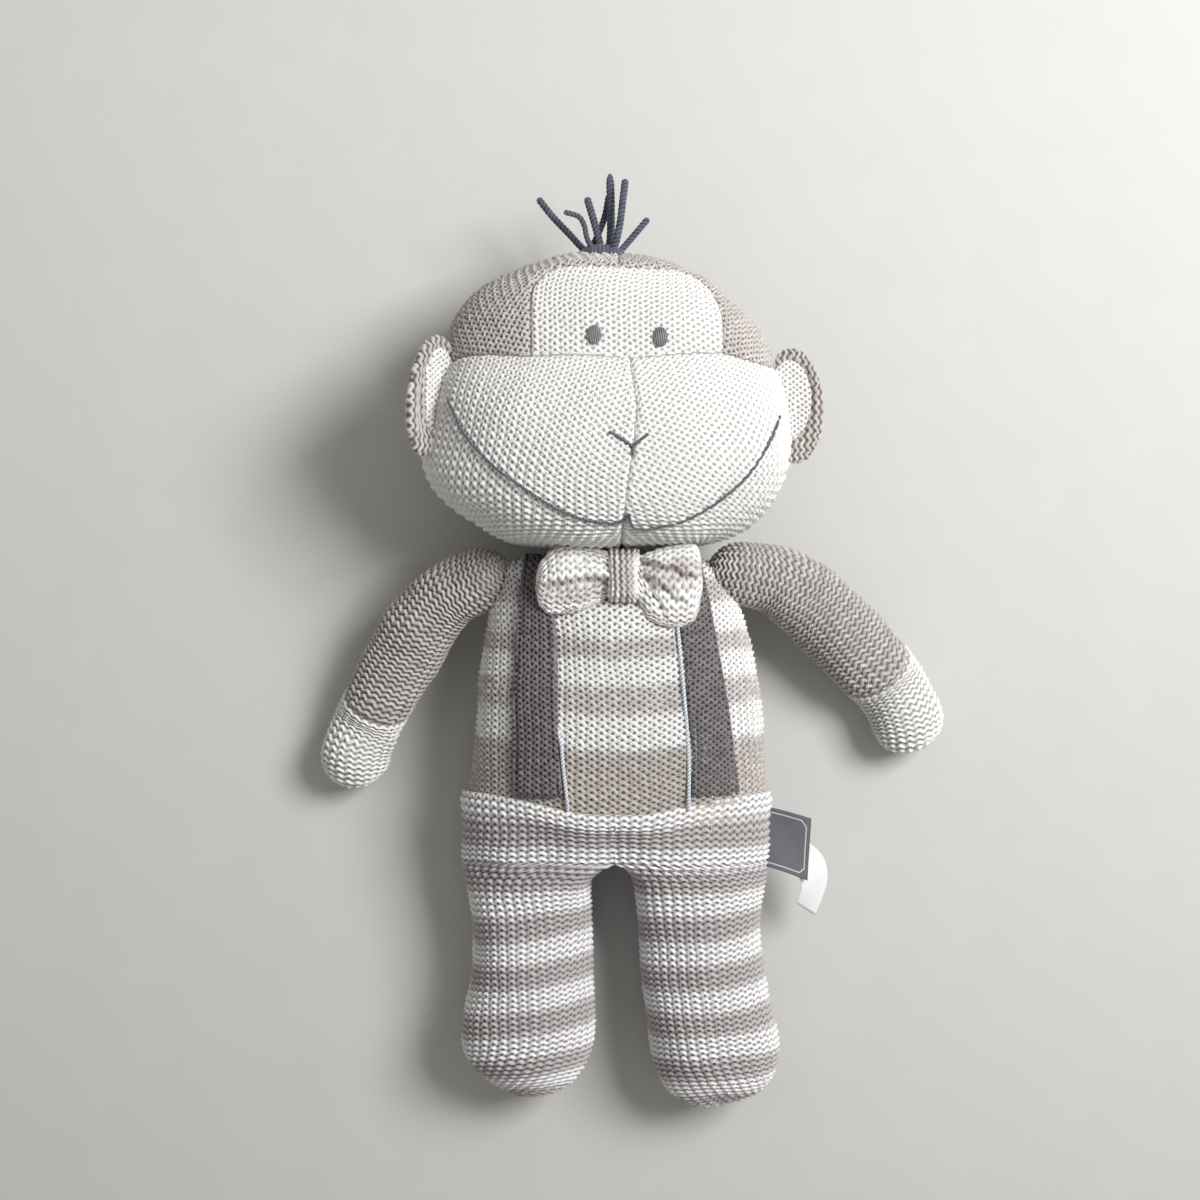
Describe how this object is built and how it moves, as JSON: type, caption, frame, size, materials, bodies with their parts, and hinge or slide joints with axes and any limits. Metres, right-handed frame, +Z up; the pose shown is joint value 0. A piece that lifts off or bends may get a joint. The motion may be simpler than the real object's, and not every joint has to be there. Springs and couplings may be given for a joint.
{
  "type": "knitted toy monkey",
  "caption": "Knitted stuffed monkey with a bow, braces and striped trousers, lying on its back, with jointed head, ears, arms and legs.",
  "frame": {"origin": "middle of the part's box on the floor it lies on", "axes": "+Z up from the floor through the belly, +Y from the feet to the head, +X to the viewer's right when looking down at the face"},
  "size_m": [0.262, 0.3834, 0.1012],
  "materials": {
    "cream_knit": "cream cotton yarn, knitted, purl side out",
    "taupe_knit": "taupe melange yarn, knitted, purl side out",
    "sleeve_knit": "grey-brown melange yarn, knitted in ridges across the arm",
    "striped_knit": "cream and taupe yarn, knitted in stripes seven rows wide",
    "brace_knit": "dark grey-brown melange yarn, knitted band",
    "bow_knit": "cream yarn, fine ribs",
    "tuft_yarn": "navy grey twisted yarn",
    "face_thread": "slate grey cotton thread",
    "piping": "thin pale blue-white cord",
    "stuffing": "white fibre filling",
    "woven_label": "grey woven satin ribbon with a pale border line",
    "care_label": "white satin ribbon, bare"
  },
  "bodies": {
    "torso": {"sweater_front": "striped_knit", "sweater_back": "striped_knit", "trouser_seat": "striped_knit", "body_stuffing": "stuffing", "brace_left": "brace_knit", "brace_right": "brace_knit", "piping_left": "piping", "piping_right": "piping", "bow_knot": "bow_knit"},
    "neck": {"neck_stuffing": "stuffing"},
    "head": {"forehead_panel": "cream_knit", "hair_cover": "taupe_knit", "muzzle_left": "cream_knit", "muzzle_right": "cream_knit", "head_stuffing": "stuffing", "eye_left": "face_thread", "eye_right": "face_thread", "nose_stitches": "face_thread", "smile_thread": "face_thread"},
    "ear_left": {"ear_front_left": "cream_knit", "ear_back_left": "taupe_knit"},
    "ear_right": {"ear_front_right": "cream_knit", "ear_back_right": "taupe_knit"},
    "tuft": {"tuft_binding": "tuft_yarn", "tuft_strand_1": "tuft_yarn", "tuft_strand_2": "tuft_yarn", "tuft_strand_3": "tuft_yarn", "tuft_strand_4": "tuft_yarn", "tuft_strand_5": "tuft_yarn", "tuft_strand_6": "tuft_yarn", "tuft_strand_7": "tuft_yarn"},
    "shoulder_left": {"shoulder_wad_left": "stuffing"},
    "arm_left": {"sleeve_left": "sleeve_knit", "hand_left": "cream_knit", "arm_stuffing_left": "stuffing"},
    "shoulder_right": {"shoulder_wad_right": "stuffing"},
    "arm_right": {"sleeve_right": "sleeve_knit", "hand_right": "cream_knit", "arm_stuffing_right": "stuffing"},
    "leg_left": {"trouser_leg_left": "striped_knit", "leg_stuffing_left": "stuffing"},
    "leg_right": {"trouser_leg_right": "striped_knit", "leg_stuffing_right": "stuffing"},
    "bow_flap_left": {"bow_loop_left": "bow_knit"},
    "bow_flap_right": {"bow_loop_right": "bow_knit"},
    "side_label_flap": {"side_label": "woven_label"},
    "care_label_flap": {"care_label": "care_label"}
  },
  "joints": [
    {"name": "head_turn", "type": "hinge", "parent": "torso", "child": "neck", "pos_m": [-0.00922, 0.04061, 0.04], "axis": [0, 1, 0], "range_deg": [-25, 25]},
    {"name": "head_nod", "type": "hinge", "parent": "neck", "child": "head", "pos_m": [-0.00922, 0.04061, 0.04], "axis": [1, 0, 0], "range_deg": [-12, 3]},
    {"name": "ear_left_fold", "type": "hinge", "parent": "head", "child": "ear_left", "pos_m": [-0.07495, 0.10061, 0.06153], "axis": [0, 1, 0], "range_deg": [-20, 0], "stiffness_Nm_per_rad": 0.01},
    {"name": "ear_right_fold", "type": "hinge", "parent": "head", "child": "ear_right", "pos_m": [0.0588, 0.09861, 0.04318], "axis": [0, 1, 0], "range_deg": [-15, 15], "stiffness_Nm_per_rad": 0.01},
    {"name": "tuft_bend", "type": "hinge", "parent": "head", "child": "tuft", "pos_m": [-0.01222, 0.15831, 0.05], "axis": [1, 0, 0], "range_deg": [-15, 20], "stiffness_Nm_per_rad": 0.01},
    {"name": "shoulder_left_swing", "type": "hinge", "parent": "torso", "child": "shoulder_left", "pos_m": [-0.06294, 0.02861, 0.036], "axis": [0, 0, 1], "range_deg": [-45, 8]},
    {"name": "arm_left_lift", "type": "hinge", "parent": "shoulder_left", "child": "arm_left", "pos_m": [-0.06294, 0.02861, 0.036], "axis": [-0.84, 0.5426, 0], "range_deg": [-5, 70]},
    {"name": "shoulder_right_swing", "type": "hinge", "parent": "torso", "child": "shoulder_right", "pos_m": [0.04407, 0.03081, 0.036], "axis": [0, 0, 1], "range_deg": [-8, 45]},
    {"name": "arm_right_lift", "type": "hinge", "parent": "shoulder_right", "child": "arm_right", "pos_m": [0.04407, 0.03081, 0.036], "axis": [-0.7071, -0.7071, 0], "range_deg": [-5, 70]},
    {"name": "leg_left_fold", "type": "hinge", "parent": "torso", "child": "leg_left", "pos_m": [-0.04432, -0.10419, 0.024], "axis": [-1, 0, 0], "range_deg": [-15, 75]},
    {"name": "leg_right_fold", "type": "hinge", "parent": "torso", "child": "leg_right", "pos_m": [0.02758, -0.10419, 0.024], "axis": [-1, 0, 0], "range_deg": [-15, 75]},
    {"name": "bow_left_flap", "type": "hinge", "parent": "torso", "child": "bow_flap_left", "pos_m": [-0.01092, 0.02941, 0.07097], "axis": [0, 1, 0], "range_deg": [0, 30], "stiffness_Nm_per_rad": 0.01},
    {"name": "bow_right_flap", "type": "hinge", "parent": "torso", "child": "bow_flap_right", "pos_m": [0.00268, 0.02941, 0.07097], "axis": [0, 1, 0], "range_deg": [-30, 0], "stiffness_Nm_per_rad": 0.01},
    {"name": "side_label_bend", "type": "hinge", "parent": "torso", "child": "side_label_flap", "pos_m": [0.05588, -0.08, 0.0304], "axis": [0, 1, 0], "range_deg": [-60, 0], "stiffness_Nm_per_rad": 0.001},
    {"name": "care_label_bend", "type": "hinge", "parent": "torso", "child": "care_label_flap", "pos_m": [0.05588, -0.082, 0.0238], "axis": [0, 1, 0], "range_deg": [0, 30], "stiffness_Nm_per_rad": 0.001}
  ]
}
